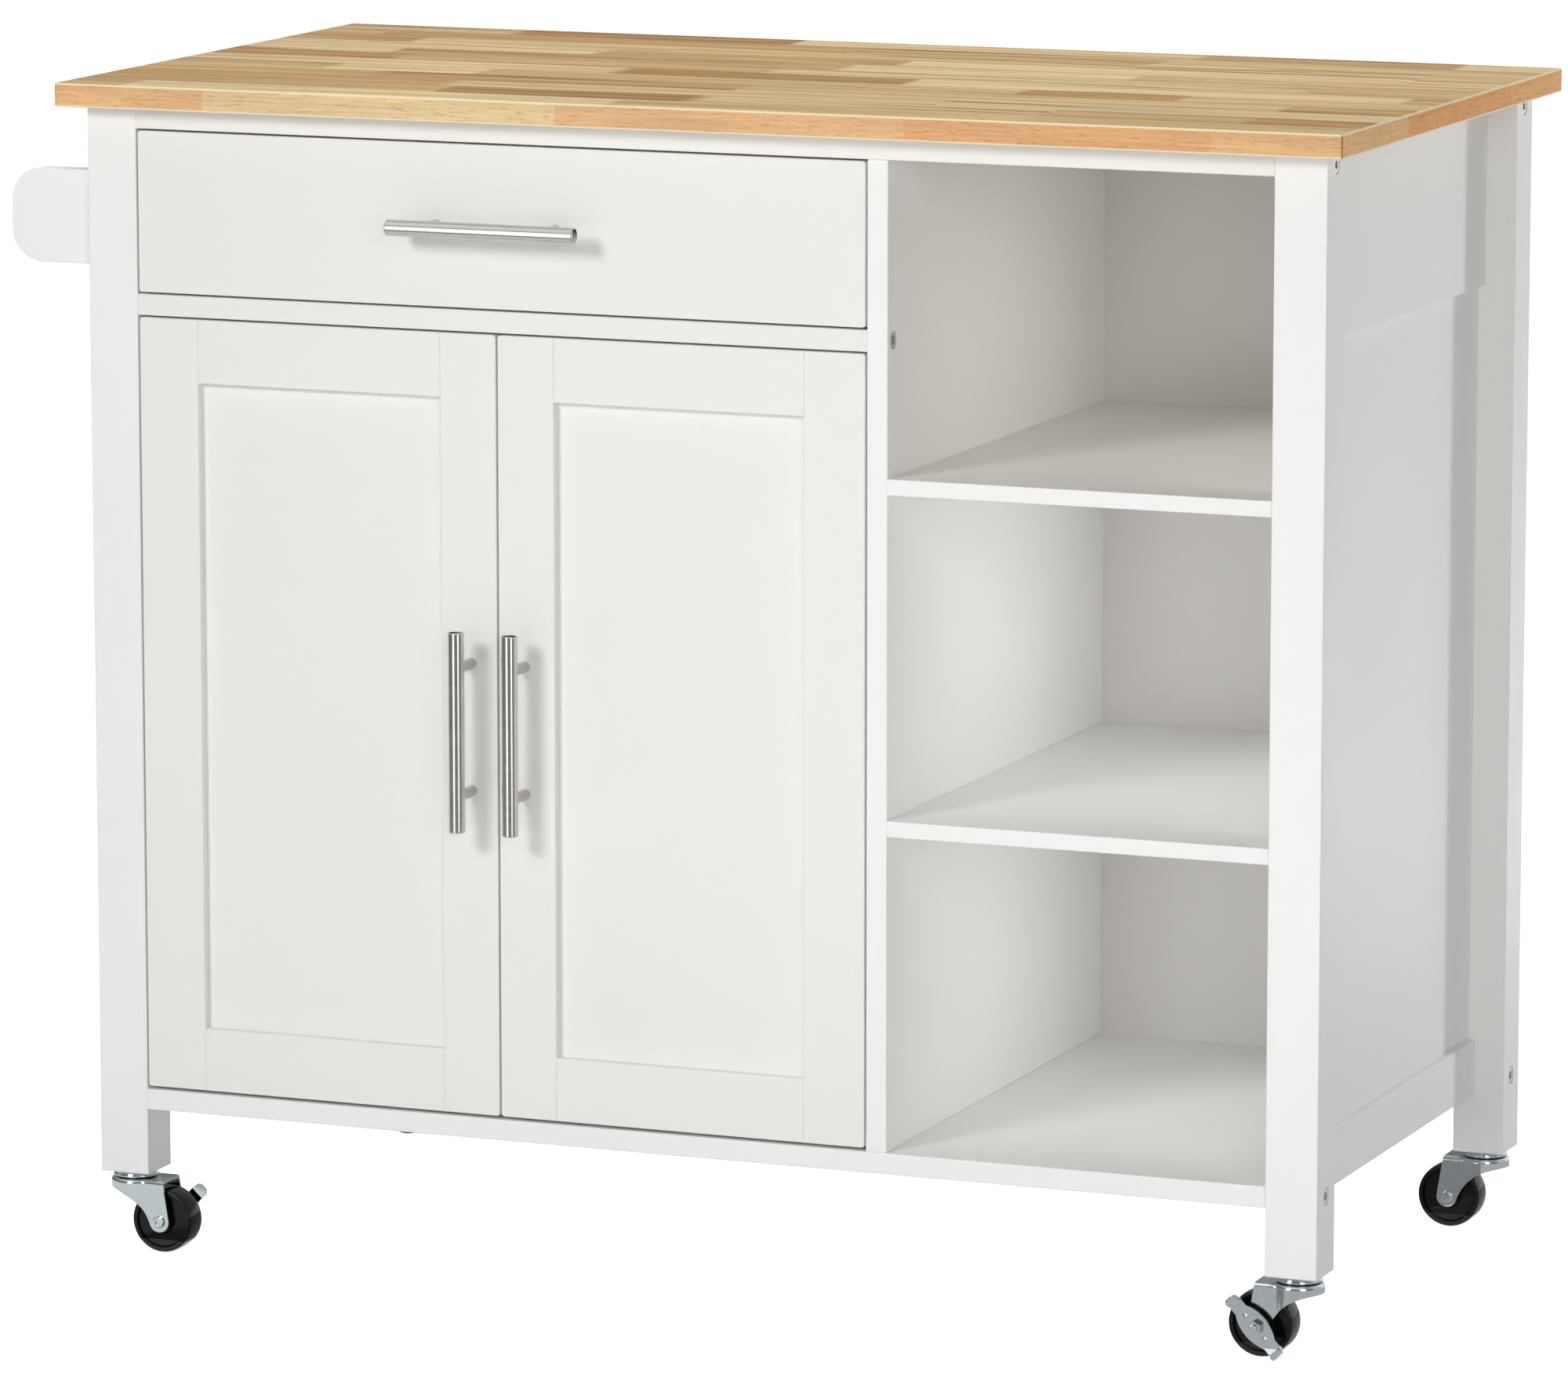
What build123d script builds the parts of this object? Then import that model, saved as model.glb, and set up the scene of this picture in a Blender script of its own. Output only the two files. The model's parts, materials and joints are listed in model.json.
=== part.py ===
from build123d import *
import math
import os

# A rolling kitchen island: a butcher block top on a painted cabinet with one drawer over two
# doors, three open bays beside them, a towel rail on the left and four swivel casters.
# Sizes are millimetres. X runs along the front, Y from front to back, Z up from the floor.
# Pieces are laid out about the middle of the worktop and shifted once, when they are written,
# so that the origin is the middle of the whole object's box, on the floor.

# Worktop
top_width = 1010.0
top_depth = 530.0
top_thick = 18.0
top_edge_ease = 1.6
side_overhang = 17.0
front_overhang = 20.0
overall_height = 895.5

# Frame and boards
leg_size = 40.0
leg_edge_ease = 1.2
board_edge_ease = 0.8
board_thick = 16.0
top_rail_depth = 60.0
mid_rail_depth = 40.0
leg_below_panel = 51.0
back_panel_thick = 12.0
side_panel_thick = 12.0
side_rail_thick = 17.0
side_rail_height = 42.5
side_rail_drop = 4.5
apron_height = 143.0

# Bays and shelves
bay_width = 293.5
shelf_thick = 12.0
lower_shelf_rise = 236.0
upper_bay_height = 232.0
cabinet_shelf_rise = 290.0
cabinet_shelf_setback = 60.0
cabinet_shelf_clear = 1.0
pin_diameter = 5.0
pin_length = 16.0
pin_inset = 50.0

# Fronts
front_thick = 16.0
front_gap = 1.5
door_foot_gap = 2.5
front_corner_radius = 2.5
front_edge_ease = 0.8
drawer_opening = 124.0
hinge_stile_width = 48.0
meeting_stile_width = 45.0
door_rail_height = 48.0
door_panel_recess = 7.5
door_panel_thick = 5.0
door_groove_depth = 6.0
door_panel_float = 0.5

# Drawer box and runners
drawer_side_thick = 12.0
drawer_side_height = 90.0
drawer_side_rise = 14.0
drawer_back_clear = 48.0
drawer_bottom_thick = 4.0
drawer_bottom_rise = 8.0
drawer_groove_depth = 5.0
runner_thick = 12.7
runner_height = 35.0
runner_sheet = 1.5
runner_lip = 9.0
runner_ball_gap = 3.0
runner_web_gap = 2.5

# Handles
bar_diameter = 12.0
bar_length = 150.0
bar_end_ease = 0.8
post_diameter = 8.5
post_pitch = 96.0
post_socket = 3.0
handle_standoff = 28.0
door_handle_offset = 21.5
screw_diameter = 4.0
screw_bite = 12.0
screw_clear = 0.25
screw_head_diameter = 8.0
screw_head_height = 2.6
screw_head_ease = 1.3

# Cup hinges
cup_diameter = 35.0
cup_depth = 11.5
cup_wall = 1.2
cup_clear = 0.1
cup_edge_distance = 22.5
cup_flange_length = 60.0
cup_flange_width = 20.0
cup_flange_thick = 1.2
cup_flange_corner = 5.0
hinge_inset = 90.0
hinge_arm_gap = 6.0
hinge_arm_length = 58.0
hinge_arm_width = 12.0
hinge_arm_height = 11.0
hinge_plate_length = 34.0
hinge_plate_width = 46.0
hinge_plate_thick = 2.5
hinge_plate_corner = 7.5
hinge_arm_ease = 2.5
hinge_screw_diameter = 6.0
hinge_screw_height = 1.2
hinge_screw_ease = 0.6

# Frame bolts
bolt_head_diameter = 13.0
bolt_head_height = 4.4
bolt_head_ease = 0.6
bolt_counterbore = 5.0
bolt_shank_diameter = 6.0
bolt_length = 78.0
bolt_clear = 0.4
bolt_socket = 6.0
bolt_socket_depth = 3.0
mid_bolt_setback = 12.0

# Towel rail
bracket_reach = 70.0
bracket_height = 71.0
bracket_thick = 16.0
bracket_corner_radius = 25.0
bracket_drop = 50.0
bracket_edge_ease = 1.2
towel_rod_diameter = 22.0
towel_rod_out = 40.0
towel_rod_socket = 9.0

# Casters
wheel_diameter = 50.0
wheel_width = 21.0
wheel_crown = 0.8
wheel_edge_radius = 1.8
wheel_rim = 3.5
wheel_dish = 2.2
wheel_hub_diameter = 18.0
wheel_side_clear = 2.5
wheel_top_clear = 5.0
caster_trail = 26.0
axle_diameter = 6.0
axle_clear = 0.05
axle_head_diameter = 9.0
axle_head_height = 2.2
axle_head_ease = 0.8
axle_recess_diameter = 4.6
axle_recess_depth = 1.0
stem_diameter = 8.0
stem_length = 30.0
stem_clear = 0.1
cap_diameter = 36.0
cap_top_diameter = 32.0
cap_height = 4.8
cap_rim_ease = 1.2
crown_gap = 0.7
crown_diameter = 38.0
fork_sheet = 2.0
fork_shoulder = 3.2
fork_blend_radius = 9.0
fork_nose_height = 7.5
fork_hollow_radius = 40.0
fork_lobe_radius = 8.0
fork_tail = 29.0
kingpin_diameter = 10.0
kingpin_head_diameter = 15.0
kingpin_head_height = 2.0
kingpin_head_gap = 0.3
lever_sheet = 1.8
lever_gap = 0.6
lever_inset = 2.0
lever_lens_width = 20.0
lever_tab_width = 11.0
lever_tab_reach = 8.0
lever_tab_bend = 45.0
lever_tab_corner = 4.0
lever_angle = 47.0
spacer_diameter = 9.0
nut_across_flats = 10.0
nut_height = 4.5

# Planes and levels that the pieces share
frame_x = top_width / 2 - side_overhang
frame_y = top_depth / 2 - front_overhang
inner_x = frame_x - leg_size
inner_y = frame_y - leg_size
leg_centre_x = frame_x - leg_size / 2
leg_centre_y = frame_y - leg_size / 2
front_y = -frame_y
front_back_y = front_y + front_thick
back_panel_y = leg_centre_y - back_panel_thick / 2
top_under = overall_height - top_thick
caster_height = wheel_diameter + wheel_top_clear + fork_sheet + crown_gap + cap_height
top_rail_z = top_under - board_thick
bottom_z = caster_height + leg_below_panel
floor_z = bottom_z + board_thick
mid_top_z = top_rail_z - drawer_opening
mid_z = mid_top_z - board_thick
divider_right = inner_x - bay_width
divider_left = divider_right - board_thick
cabinet_centre = (divider_left - inner_x) / 2
lower_shelf_z = floor_z + lower_shelf_rise
upper_shelf_z = top_rail_z - upper_bay_height - shelf_thick
cabinet_shelf_z = floor_z + cabinet_shelf_rise
door_z = floor_z + door_foot_gap
door_top_z = mid_z - front_gap
door_left_x = front_gap - inner_x
door_right_x = cabinet_centre - front_gap / 2
handle_bar_y = front_y - handle_standoff
axle_z = wheel_diameter / 2
lever_length = wheel_diameter - 2 * lever_inset
bracket_top_z = top_under - bracket_drop
bracket_z = bracket_top_z - bracket_height
towel_rod_x = -frame_x - towel_rod_out

# The whole object's box runs from the towel brackets to the worktop's right end, and from the
# handles to the worktop's back edge. The origin is the middle of that box.
shift_x = (frame_x + bracket_reach - top_width / 2) / 2
shift_y = (handle_standoff + bar_diameter / 2 - front_overhang) / 2

LEFT, RIGHT = -1, 1
FRONT, BACK = -1, 1
nodes = {}


def add(name, *pieces):
    """Files one piece, or one group of like pieces, under its node name."""
    nodes[name] = [piece.solid() for piece in pieces]


def board(x0, x1, y0, y1, z0, z1):
    """A square-edged board between two opposite corners, with its X ends in either order."""
    middle = Pos((x0 + x1) / 2, (y0 + y1) / 2, (z0 + z1) / 2)
    return middle * Box(abs(x1 - x0), y1 - y0, z1 - z0)


def eased(shape, radius):
    """The shape with all its edges rounded over."""
    return fillet(shape.edges(), radius)


def rod(start, direction, diameter, length):
    """A round bar that runs from a point along a direction."""
    from_start = (Align.CENTER, Align.CENTER, Align.MIN)
    return Plane(origin=start, z_dir=direction) * Cylinder(diameter / 2, length, align=from_start)


def domed_rod(start, direction, diameter, length, ease):
    """A round bar whose far rim is rounded over."""
    bar = rod(start, direction, diameter, length)
    rim = bar.edges().filter_by(GeomType.CIRCLE).sort_by(Axis(start, direction))[-1]
    return fillet(rim, ease)


def hexagon(start, direction, across_flats, length):
    """A six-sided prism that runs from a point along a direction."""
    outline = RegularPolygon(across_flats / 2, 6, major_radius=False)
    return extrude(Plane(origin=start, z_dir=direction) * outline, length)


def opposite(direction):
    return tuple(-part for part in direction)


def along(start, direction, distance):
    return tuple(a + b * distance for a, b in zip(start, direction))


def side_name(side):
    return "left" if side == LEFT else "right"


def end_name(end):
    return "front" if end == FRONT else "back"


# Frame bolts: one through each leg into each board end, one through the divider

rail_bolt_z = top_rail_z + board_thick / 2
panel_bolt_z = bottom_z + board_thick / 2
mid_bolt_z = mid_z + board_thick / 2
mid_bolt_seat = ((divider_right, front_y + mid_bolt_setback, mid_bolt_z), (-1, 0, 0))


def leg_bolt_seat(side, end, height):
    return (side * frame_x, end * leg_centre_y, height), (-side, 0, 0)


def bolt_hole(seat):
    """The counterbore and clearance hole for one bolt, as a cutter."""
    start, inward = seat
    mouth = rod(start, inward, bolt_head_diameter + 2 * bolt_clear, bolt_counterbore)
    return mouth + rod(start, inward, bolt_shank_diameter + 2 * bolt_clear, bolt_length + bolt_clear)


def bolt(seat):
    """A round-headed bolt with a hexagon socket, sunk just below the face it enters."""
    start, inward = seat
    face = along(start, inward, bolt_counterbore - bolt_head_height)
    under_head = along(start, inward, bolt_counterbore)
    head = domed_rod(under_head, opposite(inward), bolt_head_diameter, bolt_head_height, bolt_head_ease)
    shank = rod(under_head, inward, bolt_shank_diameter, bolt_length - bolt_counterbore)
    return head + shank - hexagon(face, inward, bolt_socket, bolt_socket_depth)


def leg(side, end):
    """A square post, bored for its two bolts and for the caster's stem."""
    x, y = side * leg_centre_x, end * leg_centre_y
    half = leg_size / 2
    post = eased(board(x - half, x + half, y - half, y + half, caster_height, top_under), leg_edge_ease)
    for height in (rail_bolt_z, panel_bolt_z):
        post -= bolt_hole(leg_bolt_seat(side, end, height))
    stem_hole = stem_diameter + 2 * stem_clear
    return post - rod((x, y, caster_height), (0, 0, 1), stem_hole, stem_length + stem_clear)


def top_rail(end):
    """The flat stretcher under the worktop's front or back edge."""
    y0, y1 = sorted((end * frame_y, end * (frame_y - top_rail_depth)))
    rail = eased(board(-inner_x, inner_x, y0, y1, top_rail_z, top_under), board_edge_ease)
    for side in (LEFT, RIGHT):
        rail -= bolt_hole(leg_bolt_seat(side, end, rail_bolt_z))
    return rail


def build_frame():
    worktop = board(-top_width / 2, top_width / 2, -top_depth / 2, top_depth / 2, top_under, overall_height)
    add("butcher_block_top", eased(worktop, top_edge_ease))
    bolts = [bolt(mid_bolt_seat)]
    for end in (FRONT, BACK):
        add(f"top_rail_{end_name(end)}", top_rail(end))
        for side in (LEFT, RIGHT):
            add(f"leg_{end_name(end)}_{side_name(side)}", leg(side, end))
            for height in (rail_bolt_z, panel_bolt_z):
                bolts.append(bolt(leg_bolt_seat(side, end, height)))
    add("frame_bolts", *bolts)

    bottom = eased(board(-inner_x, inner_x, -frame_y, frame_y, bottom_z, floor_z), board_edge_ease)
    for side in (LEFT, RIGHT):
        for end in (FRONT, BACK):
            bottom -= bolt_hole(leg_bolt_seat(side, end, panel_bolt_z))
    add("bottom_panel", bottom)

    back_y = back_panel_y + back_panel_thick
    add("back_panel", board(-inner_x, inner_x, back_panel_y, back_y, floor_z, top_rail_z))

    mid_rail = board(-inner_x, divider_left, front_y, front_y + mid_rail_depth, mid_z, mid_top_z)
    add("mid_rail", eased(mid_rail, board_edge_ease) - bolt_hole(mid_bolt_seat))


def build_sides():
    """The apron, panel and bottom rail between each pair of legs, inner faces in one plane."""
    apron_z = top_under - apron_height
    rail_z = bottom_z - side_rail_drop
    rail_top_z = rail_z + side_rail_height
    for side in (LEFT, RIGHT):
        wall = side * inner_x
        rail_face = wall + side * side_rail_thick
        panel_face = wall + side * side_panel_thick
        apron = board(wall, rail_face, -inner_y, inner_y, apron_z, top_under)
        rail = board(wall, rail_face, -inner_y, inner_y, rail_z, rail_top_z)
        panel = board(wall, panel_face, -inner_y, inner_y, rail_top_z, apron_z)
        if side == LEFT:
            for hole in shelf_pin_holes(side):
                panel -= hole
        add(f"side_apron_{side_name(side)}", eased(apron, board_edge_ease))
        add(f"side_rail_{side_name(side)}", eased(rail, board_edge_ease))
        add(f"side_panel_{side_name(side)}", panel)


# Shelves

shelf_front_y = front_back_y + cabinet_shelf_setback
shelf_back_y = back_panel_y - cabinet_shelf_clear
pin_z = cabinet_shelf_z - pin_diameter / 2


def shelf_pins(side, length, sink):
    """Round pins on one wall of the cabinet: they run inward from a start sunk into the wall."""
    wall = -inner_x if side == LEFT else divider_left
    start_x = wall + side * sink
    places = (shelf_front_y + pin_inset, shelf_back_y - pin_inset)
    return [rod((start_x, y, pin_z), (-side, 0, 0), pin_diameter, length) for y in places]


def shelf_pin_holes(side):
    return shelf_pins(side, pin_length / 2, pin_length / 2)


def build_shelves():
    divider = board(divider_left, divider_right, front_y, back_panel_y, floor_z, top_rail_z)
    divider = eased(divider, board_edge_ease) - bolt_hole(mid_bolt_seat)
    for hole in shelf_pin_holes(RIGHT):
        divider -= hole
    add("divider_panel", divider)
    for name, low_z in (("lower", lower_shelf_z), ("upper", upper_shelf_z)):
        shelf = board(divider_right, inner_x, front_y, back_panel_y, low_z, low_z + shelf_thick)
        add(f"bay_shelf_{name}", eased(shelf, board_edge_ease))
    left_x = cabinet_shelf_clear - inner_x
    right_x = divider_left - cabinet_shelf_clear
    shelf_top_z = cabinet_shelf_z + shelf_thick
    shelf = board(left_x, right_x, shelf_front_y, shelf_back_y, cabinet_shelf_z, shelf_top_z)
    add("cabinet_shelf", eased(shelf, board_edge_ease))
    sink = pin_length / 2
    add("shelf_pins", *shelf_pins(LEFT, pin_length, sink), *shelf_pins(RIGHT, pin_length, sink))


def towel_bracket(end):
    """A board on a left leg with two large round corners and a socket for the towel rod."""
    y = end * leg_centre_y
    half = bracket_thick / 2
    bracket = board(-frame_x - bracket_reach, -frame_x, y - half, y + half, bracket_z, bracket_top_z)
    outer_corners = bracket.edges().filter_by(Axis.Y).sort_by(Axis.X)[:2]
    bracket = eased_faces(fillet(outer_corners, bracket_corner_radius), bracket_edge_ease)
    inner_face = (towel_rod_x, end * (leg_centre_y - half), (bracket_z + bracket_top_z) / 2)
    return bracket - rod(inner_face, (0, end, 0), towel_rod_diameter, towel_rod_socket)


def eased_faces(shape, radius):
    """The shape with the rims of its front and back faces rounded over."""
    faces = shape.faces().sort_by(Axis.Y)
    return fillet(faces[0].edges() + faces[-1].edges(), radius)


def build_towel_rail():
    add("towel_brackets", *(towel_bracket(end) for end in (FRONT, BACK)))
    rod_end = leg_centre_y - bracket_thick / 2 + towel_rod_socket
    start = (towel_rod_x, -rod_end, (bracket_z + bracket_top_z) / 2)
    add("towel_rod", rod(start, (0, 1, 0), towel_rod_diameter, 2 * rod_end))


# Fronts and handles


def front_slab(x0, x1, z0, z1, rounded_ends):
    """A front board with round corners at the X ends named, and an eased front rim."""
    slab = board(x0, x1, front_y, front_back_y, z0, z1)
    corners = [edge for edge in slab.edges().filter_by(Axis.Y)
               if any(abs(edge.center().X - end) < front_edge_ease for end in rounded_ends)]
    if corners:
        slab = fillet(corners, front_corner_radius)
    return fillet(slab.faces().sort_by(Axis.Y)[0].edges(), front_edge_ease)


def handle_posts(centre_x, centre_z, lengthwise):
    """The two points on the front face where a handle's posts stand."""
    half = post_pitch / 2
    return [(centre_x + lengthwise[0] * step, front_y, centre_z + lengthwise[2] * step)
            for step in (-half, half)]


def screw_holes(posts):
    """Clearance holes through the front for a handle's screws, as one cutter each."""
    diameter = screw_diameter + 2 * screw_clear
    return [rod(foot, (0, 1, 0), diameter, front_thick) for foot in posts]


def handle(centre_x, centre_z, lengthwise):
    """A round bar on two posts, each held by a screw from behind the front."""
    posts = handle_posts(centre_x, centre_z, lengthwise)
    bar_start = along((centre_x, handle_bar_y, centre_z), lengthwise, -bar_length / 2)
    bar = rod(bar_start, lengthwise, bar_diameter, bar_length)
    bar = fillet(bar.edges().filter_by(GeomType.CIRCLE), bar_end_ease)
    post_length = handle_standoff - bar_diameter / 2 + post_socket
    pieces = []
    for foot in posts:
        post = rod(foot, (0, -1, 0), post_diameter, post_length)
        bar -= post
        bore = rod(foot, (0, -1, 0), screw_diameter, screw_bite)
        inside = (foot[0], front_back_y, foot[2])
        head = domed_rod(inside, (0, 1, 0), screw_head_diameter, screw_head_height, screw_head_ease)
        shank = rod(inside, (0, -1, 0), screw_diameter, front_thick + screw_bite)
        pieces += [post - bore, head + shank]
    return [bar] + pieces


def drawer_box():
    """The drawer: a front on two grooved sides, a back, and a thin bottom in the grooves."""
    x0, x1 = front_gap - inner_x, divider_left - front_gap
    z0, z1 = mid_top_z + front_gap, top_rail_z - front_gap
    outer_left, outer_right = runner_thick - inner_x, divider_left - runner_thick
    side_z = mid_top_z + drawer_side_rise
    side_top_z = side_z + drawer_side_height
    depth = back_panel_y - front_back_y - drawer_back_clear
    end_y = front_back_y + depth
    tray_z = side_z + drawer_bottom_rise
    tray_top_z = tray_z + drawer_bottom_thick
    inner_left, inner_right = outer_left + drawer_side_thick, outer_right - drawer_side_thick
    tray_y = front_back_y - drawer_groove_depth
    tray = board(inner_left - drawer_groove_depth, inner_right + drawer_groove_depth,
                 tray_y, end_y, tray_z, tray_top_z)

    across, up = (1, 0, 0), (z0 + z1) / 2
    front = front_slab(x0, x1, z0, z1, (x0, x1)) - tray
    for hole in screw_holes(handle_posts(cabinet_centre, up, across)):
        front -= hole
    add("drawer_front", front)
    add("drawer_handle", *handle(cabinet_centre, up, across))
    left = board(outer_left, inner_left, front_back_y, end_y, side_z, side_top_z)
    right = board(inner_right, outer_right, front_back_y, end_y, side_z, side_top_z)
    add("drawer_side_left", left - tray)
    add("drawer_side_right", right - tray)
    back_y = end_y - drawer_side_thick
    add("drawer_back", board(inner_left, inner_right, back_y, end_y, tray_top_z, side_top_z))
    add("drawer_bottom", tray)

    runner_z = side_z + (drawer_side_height - runner_height) / 2
    channels, members = [], []
    for wall, inward in ((-inner_x, 1), (divider_left, -1)):
        channels.append(runner_channel(wall, inward, front_back_y, end_y, runner_z))
        members.append(runner_member(wall, inward, front_back_y, end_y, runner_z))
    add("drawer_runner_channels", *channels)
    add("drawer_runner_members", *members)


def runner_channel(wall, inward, y0, y1, z):
    """The fixed half of a ball runner: a folded channel on the cabinet wall."""
    top_z = z + runner_height
    lip_x = wall + inward * runner_lip
    web = board(wall, wall + inward * runner_sheet, y0, y1, z, top_z)
    low_lip = board(wall, lip_x, y0, y1, z, z + runner_sheet)
    return web + low_lip + board(wall, lip_x, y0, y1, top_z - runner_sheet, top_z)


def runner_member(wall, inward, y0, y1, z):
    """The moving half, on the drawer's side: a smaller channel between the fixed one's lips."""
    face = wall + inward * runner_thick
    back = wall + inward * (runner_sheet + runner_web_gap)
    low_z = z + runner_sheet + runner_ball_gap
    top_z = z + runner_height - runner_sheet - runner_ball_gap
    web = board(face - inward * runner_sheet, face, y0, y1, low_z, top_z)
    low_lip = board(back, face, y0, y1, low_z, low_z + runner_sheet)
    return web + low_lip + board(back, face, y0, y1, top_z - runner_sheet, top_z)


# Doors: the left one is built and the right one is its mirror image

groove_y = front_y + door_panel_recess
groove_back_y = groove_y + door_panel_thick
tongue = door_groove_depth - door_panel_float
hinge_stile_edge = door_left_x + hinge_stile_width
meeting_stile_edge = door_right_x - meeting_stile_width
cup_x = door_left_x + cup_edge_distance
hinge_levels = (door_z + hinge_inset, door_top_z - hinge_inset)


def door_rail(low_z, top_z, panel_above):
    """A cross rail with stub tenons for the stiles' grooves and a groove for the panel."""
    rail = front_slab(hinge_stile_edge, meeting_stile_edge, low_z, top_z, ())
    groove_z = top_z - door_groove_depth if panel_above else low_z
    tenon_z = low_z if panel_above else low_z + door_groove_depth
    tenon_top = top_z - door_groove_depth if panel_above else top_z
    groove = board(hinge_stile_edge, meeting_stile_edge, groove_y, groove_back_y,
                   groove_z, groove_z + door_groove_depth)
    tenons = board(hinge_stile_edge - tongue, meeting_stile_edge + tongue, groove_y, groove_back_y,
                   tenon_z, tenon_top)
    return rail - groove + tenons


def hinge_cup(z):
    """A pressed cup with a winged flange that is screwed to the back of the door."""
    mouth = (cup_x, front_back_y, z)
    half_w, half_l = cup_flange_width / 2, cup_flange_length / 2
    flange_y = front_back_y + cup_flange_thick
    wings = board(cup_x - half_w, cup_x + half_w, front_back_y, flange_y, z - half_l, z + half_l)
    wings = fillet(wings.edges().filter_by(Axis.Y), cup_flange_corner)
    rim = rod(mouth, (0, 1, 0), cup_diameter + 2 * cup_wall, cup_flange_thick)
    cup = rod(mouth, (0, -1, 0), cup_diameter, cup_depth)
    hollow = rod((cup_x, flange_y, z), (0, -1, 0), cup_diameter - 2 * cup_wall,
                 cup_depth + cup_flange_thick - cup_wall)
    return wings + rim + cup - hollow


def hinge_arm(z):
    """The fixed arm of a cup hinge on its mounting plate, on the cabinet wall."""
    wall = -inner_x
    y0 = front_back_y + cup_flange_thick + hinge_arm_gap
    y1 = y0 + hinge_arm_length
    half_w, half_p = hinge_arm_width / 2, hinge_plate_width / 2
    arm = board(wall, wall + hinge_arm_height, y0, y1, z - half_w, z + half_w)
    arm = fillet(arm.edges().sort_by(Axis.X)[-4:], hinge_arm_ease)
    plate_y = y1 - hinge_plate_length
    plate = board(wall, wall + hinge_plate_thick, plate_y, y1, z - half_p, z + half_p)
    arm += fillet(plate.edges().filter_by(Axis.X), hinge_plate_corner)
    for third in (1, 2):
        seat = (wall + hinge_arm_height, y0 + third * hinge_arm_length / 3, z)
        arm += domed_rod(seat, (1, 0, 0), hinge_screw_diameter, hinge_screw_height, hinge_screw_ease)
    return arm


def door_pieces():
    """The left door's pieces by name, and the arms that its hinges leave on the cabinet."""
    panel_groove = board(hinge_stile_edge - door_groove_depth, meeting_stile_edge + door_groove_depth,
                         groove_y, groove_back_y, door_z, door_top_z)
    hinge_stile = front_slab(door_left_x, hinge_stile_edge, door_z, door_top_z, (door_left_x,))
    hinge_stile -= panel_groove
    for z in hinge_levels:
        bore = cup_diameter + 2 * cup_clear
        hinge_stile -= rod((cup_x, front_back_y, z), (0, -1, 0), bore, cup_depth + cup_clear)
    meeting_stile = front_slab(meeting_stile_edge, door_right_x, door_z, door_top_z, (door_right_x,))
    meeting_stile -= panel_groove
    handle_x, handle_z = cabinet_centre - door_handle_offset, (door_z + door_top_z) / 2
    up = (0, 0, 1)
    for hole in screw_holes(handle_posts(handle_x, handle_z, up)):
        meeting_stile -= hole
    low_edge, high_edge = door_z + door_rail_height, door_top_z - door_rail_height
    panel = board(hinge_stile_edge - tongue, meeting_stile_edge + tongue, groove_y, groove_back_y,
                  low_edge - tongue, high_edge + tongue)
    return {
        "hinge_stile": [hinge_stile],
        "meeting_stile": [meeting_stile],
        "rails": [door_rail(door_z, low_edge, True), door_rail(high_edge, door_top_z, False)],
        "panel": [panel],
        "handle": handle(handle_x, handle_z, up),
        "hinge_cups": [hinge_cup(z) for z in hinge_levels],
    }


def mirrored(shape):
    """The shape reflected in the middle of the cabinet opening."""
    return mirror(shape, about=Plane.YZ.offset(cabinet_centre))


def build_doors():
    for name, pieces in door_pieces().items():
        add(f"door_left_{name}", *pieces)
        add(f"door_right_{name}", *(mirrored(piece) for piece in pieces))
    arms = [hinge_arm(z) for z in hinge_levels]
    add("hinge_arms", *arms, *(mirrored(arm) for arm in arms))


# Casters: each is built with its swivel axis on the Z axis and its wheel trailing towards +X

crown_top = caster_height - cap_height - crown_gap
fork_half = wheel_width / 2 + wheel_side_clear + fork_sheet
lever_back = crown_diameter / 2 + lever_gap
lever_face = lever_back + lever_sheet


def caster_stem():
    """The part that stays with the leg: a stem, a race cap and a headed kingpin."""
    cap_z = caster_height - cap_height
    cap = Pos(0, 0, cap_z + cap_height / 2) * Cone(cap_diameter / 2, cap_top_diameter / 2, cap_height)
    cap = fillet(cap.edges().filter_by(GeomType.CIRCLE).sort_by(Axis.Z)[0], cap_rim_ease)
    stem = rod((0, 0, caster_height), (0, 0, 1), stem_diameter, stem_length)
    head_top = crown_top - fork_sheet - kingpin_head_gap
    head_z = head_top - kingpin_head_height
    kingpin = rod((0, 0, head_z), (0, 0, 1), kingpin_diameter, cap_z - head_z)
    return cap + stem + kingpin + rod((0, 0, head_z), (0, 0, 1), kingpin_head_diameter, kingpin_head_height)


def tangent_point(x, z, turn):
    """Where a straight edge from a point meets the round lobe about the axle."""
    reach = math.hypot(x - caster_trail, z - axle_z)
    bearing = math.atan2(z - axle_z, x - caster_trail)
    bearing += turn * math.acos(fork_lobe_radius / reach)
    lobe_x = caster_trail + fork_lobe_radius * math.cos(bearing)
    return lobe_x, axle_z + fork_lobe_radius * math.sin(bearing)


def hollow_edge(x, z):
    """The middle and the end of a hollow edge from a point, which runs smoothly into the lobe."""
    reach = math.hypot(x - caster_trail, z - axle_z)
    far = fork_hollow_radius + fork_lobe_radius
    bearing = math.atan2(z - axle_z, x - caster_trail)
    bearing += math.acos((far ** 2 + reach ** 2 - fork_hollow_radius ** 2) / (2 * far * reach))
    centre = Vector(caster_trail + far * math.cos(bearing), axle_z + far * math.sin(bearing))
    start = Vector(x, z)
    end = centre + (Vector(caster_trail, axle_z) - centre) * (fork_hollow_radius / far)
    middle = centre + ((start - centre) + (end - centre)).normalized() * fork_hollow_radius
    return (middle.X, middle.Y), (end.X, end.Y)


def fork_outline(crown_radius, half_width, tail, blend):
    """The fork seen from above: a round crown that sweeps into two flat cheeks."""
    outline = Circle(crown_radius) + Pos(tail / 2, 0) * Rectangle(tail, 2 * half_width)
    return fillet(outline.vertices().sort_by(Axis.X)[:2], blend)


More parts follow.
